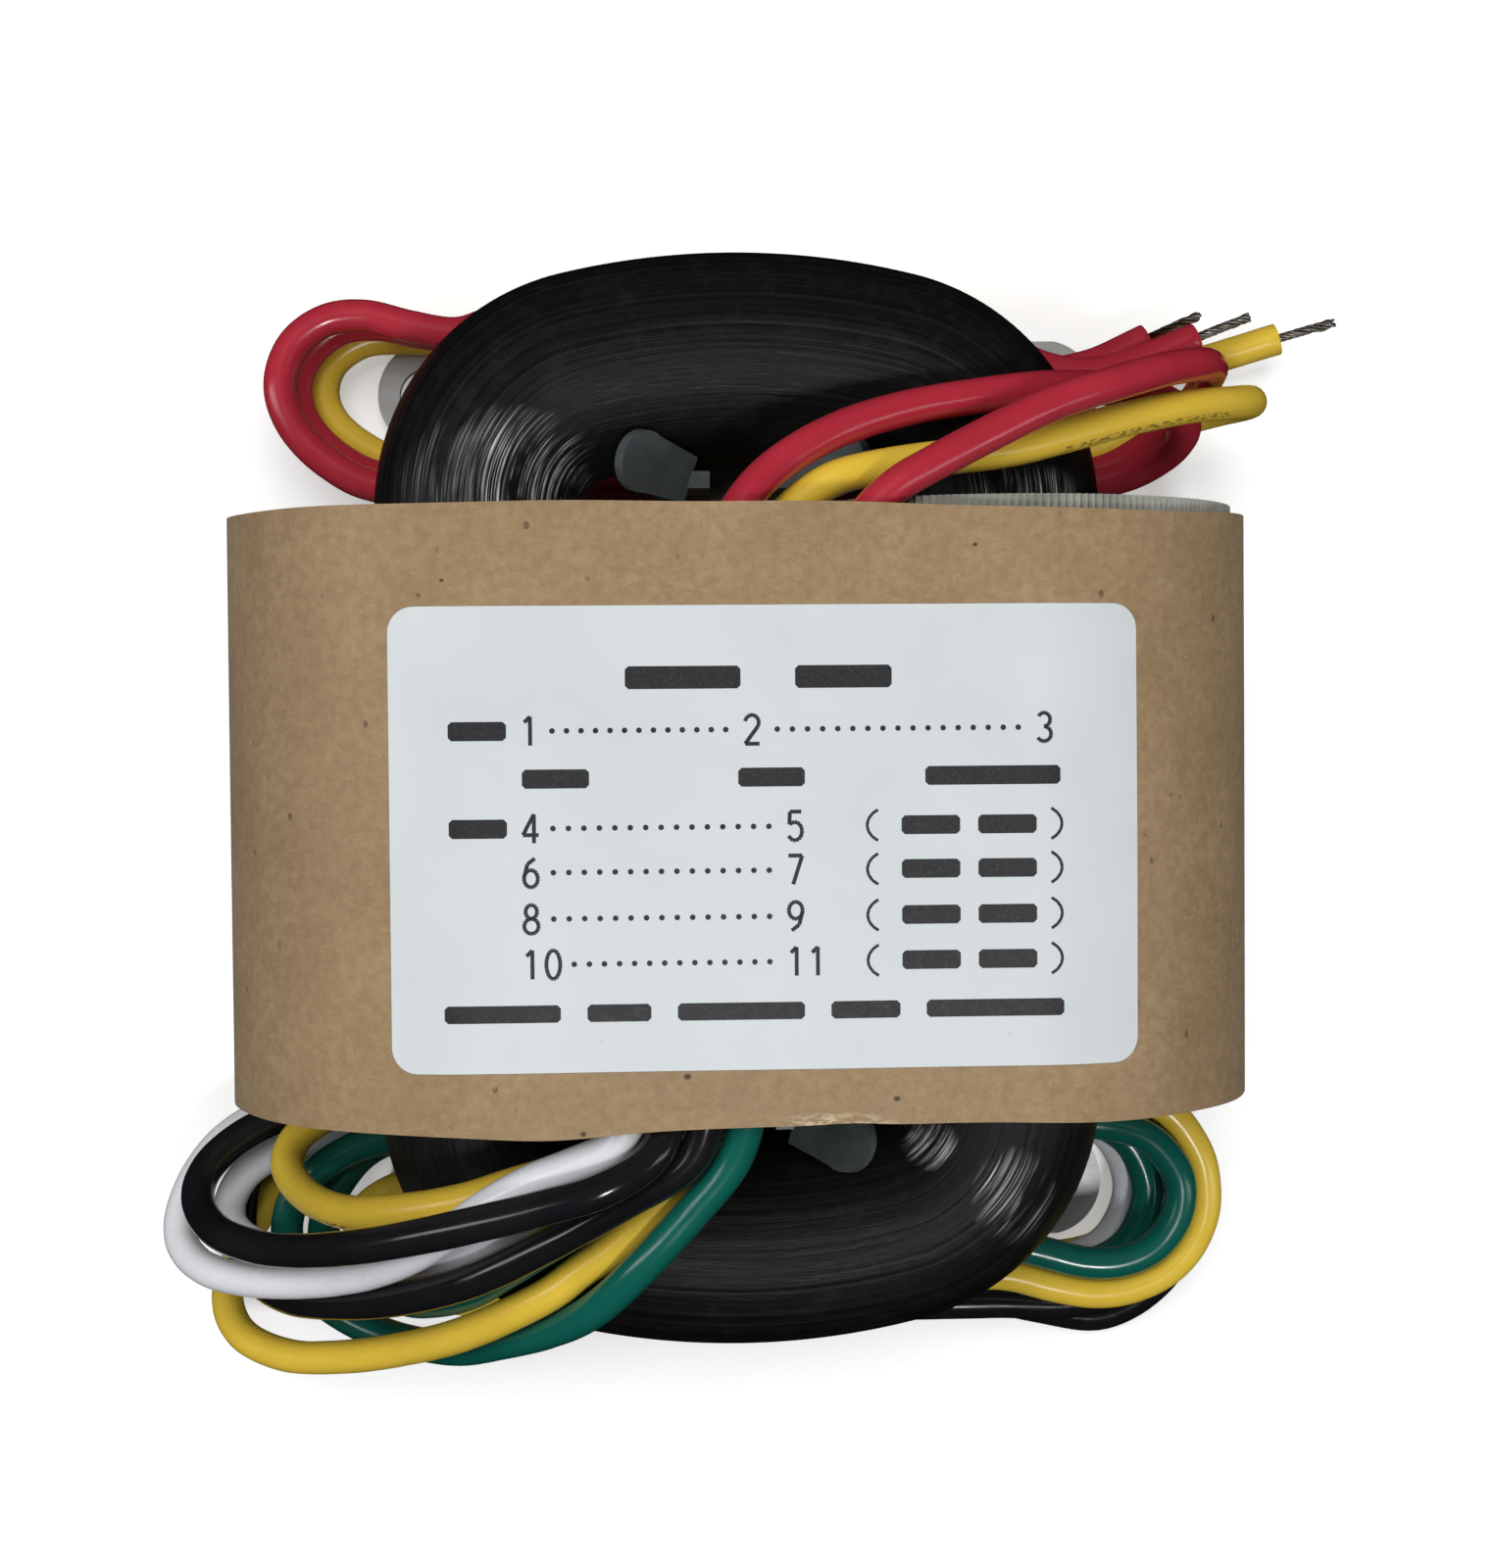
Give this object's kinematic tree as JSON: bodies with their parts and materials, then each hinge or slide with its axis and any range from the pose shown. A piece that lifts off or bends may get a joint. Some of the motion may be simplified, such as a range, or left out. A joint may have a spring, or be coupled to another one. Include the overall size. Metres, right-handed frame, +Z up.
{
  "type": "r-core transformer",
  "caption": "R-core mains transformer: round-section wound black core through two paper-wrapped coils with a plain white label, zinc slotted feet and coiled coloured leads.",
  "frame": {"origin": "middle of the core on the mounting plane; the four feet sit 1.3 mm off it towards +X", "axes": "+X across the two coils, +Y along the core towards the primary leads, +Z up from the mounting plane, out of the label"},
  "size_m": [0.0918, 0.083, 0.0371],
  "materials": {
    "core_lacquer": "black lacquered wound steel strip, fine strip lines, gloss",
    "kraft_paper": "brown kraft insulating paper, satin",
    "label_paper": "white coated label stock with plain dotted and barred print",
    "zinc_steel": "bright zinc plated sheet steel",
    "nylon": "natural nylon moulding",
    "enamelled_copper": "enamelled copper winding",
    "copper_foil": "bare copper foil",
    "polyester_tape": "clear yellow polyester tape",
    "red_pvc": "red PVC lead insulation",
    "yellow_pvc": "yellow PVC lead insulation",
    "green_pvc": "green PVC lead insulation",
    "white_pvc": "white PVC lead insulation",
    "black_pvc": "black PVC lead insulation",
    "tinned_copper": "tinned twisted copper strands"
  },
  "bodies": {
    "root": {"core": "core_lacquer", "right_bobbin_front": "nylon", "right_bobbin_back": "nylon", "left_bobbin_front": "nylon", "left_bobbin_back": "nylon", "right_primary_winding": "enamelled_copper", "left_primary_winding": "enamelled_copper", "right_primary_insulation": "polyester_tape", "left_primary_insulation": "polyester_tape", "right_screen_foil": "copper_foil", "left_screen_foil": "copper_foil", "right_screen_insulation": "polyester_tape", "left_screen_insulation": "polyester_tape", "right_inner_secondary": "enamelled_copper", "left_inner_secondary": "enamelled_copper", "right_layer_insulation": "polyester_tape", "left_layer_insulation": "polyester_tape", "right_outer_secondary": "enamelled_copper", "left_outer_secondary": "enamelled_copper", "right_outer_tape": "polyester_tape", "left_outer_tape": "polyester_tape", "primary_splice_pad": "polyester_tape", "secondary_splice_pad": "polyester_tape", "paper_wrap": "kraft_paper", "label": "label_paper", "upper_bracket": "zinc_steel", "lower_bracket": "zinc_steel", "red_lead_1": "red_pvc", "red_lead_2": "red_pvc", "screen_lead": "yellow_pvc", "primary_lead_tips": "tinned_copper", "yellow_lead_1": "yellow_pvc", "yellow_lead_2": "yellow_pvc", "green_lead_1": "green_pvc", "green_lead_2": "green_pvc", "white_lead_1": "white_pvc", "white_lead_2": "white_pvc", "black_lead_1": "black_pvc", "black_lead_2": "black_pvc", "secondary_lead_tips": "tinned_copper"}
  },
  "joints": []
}
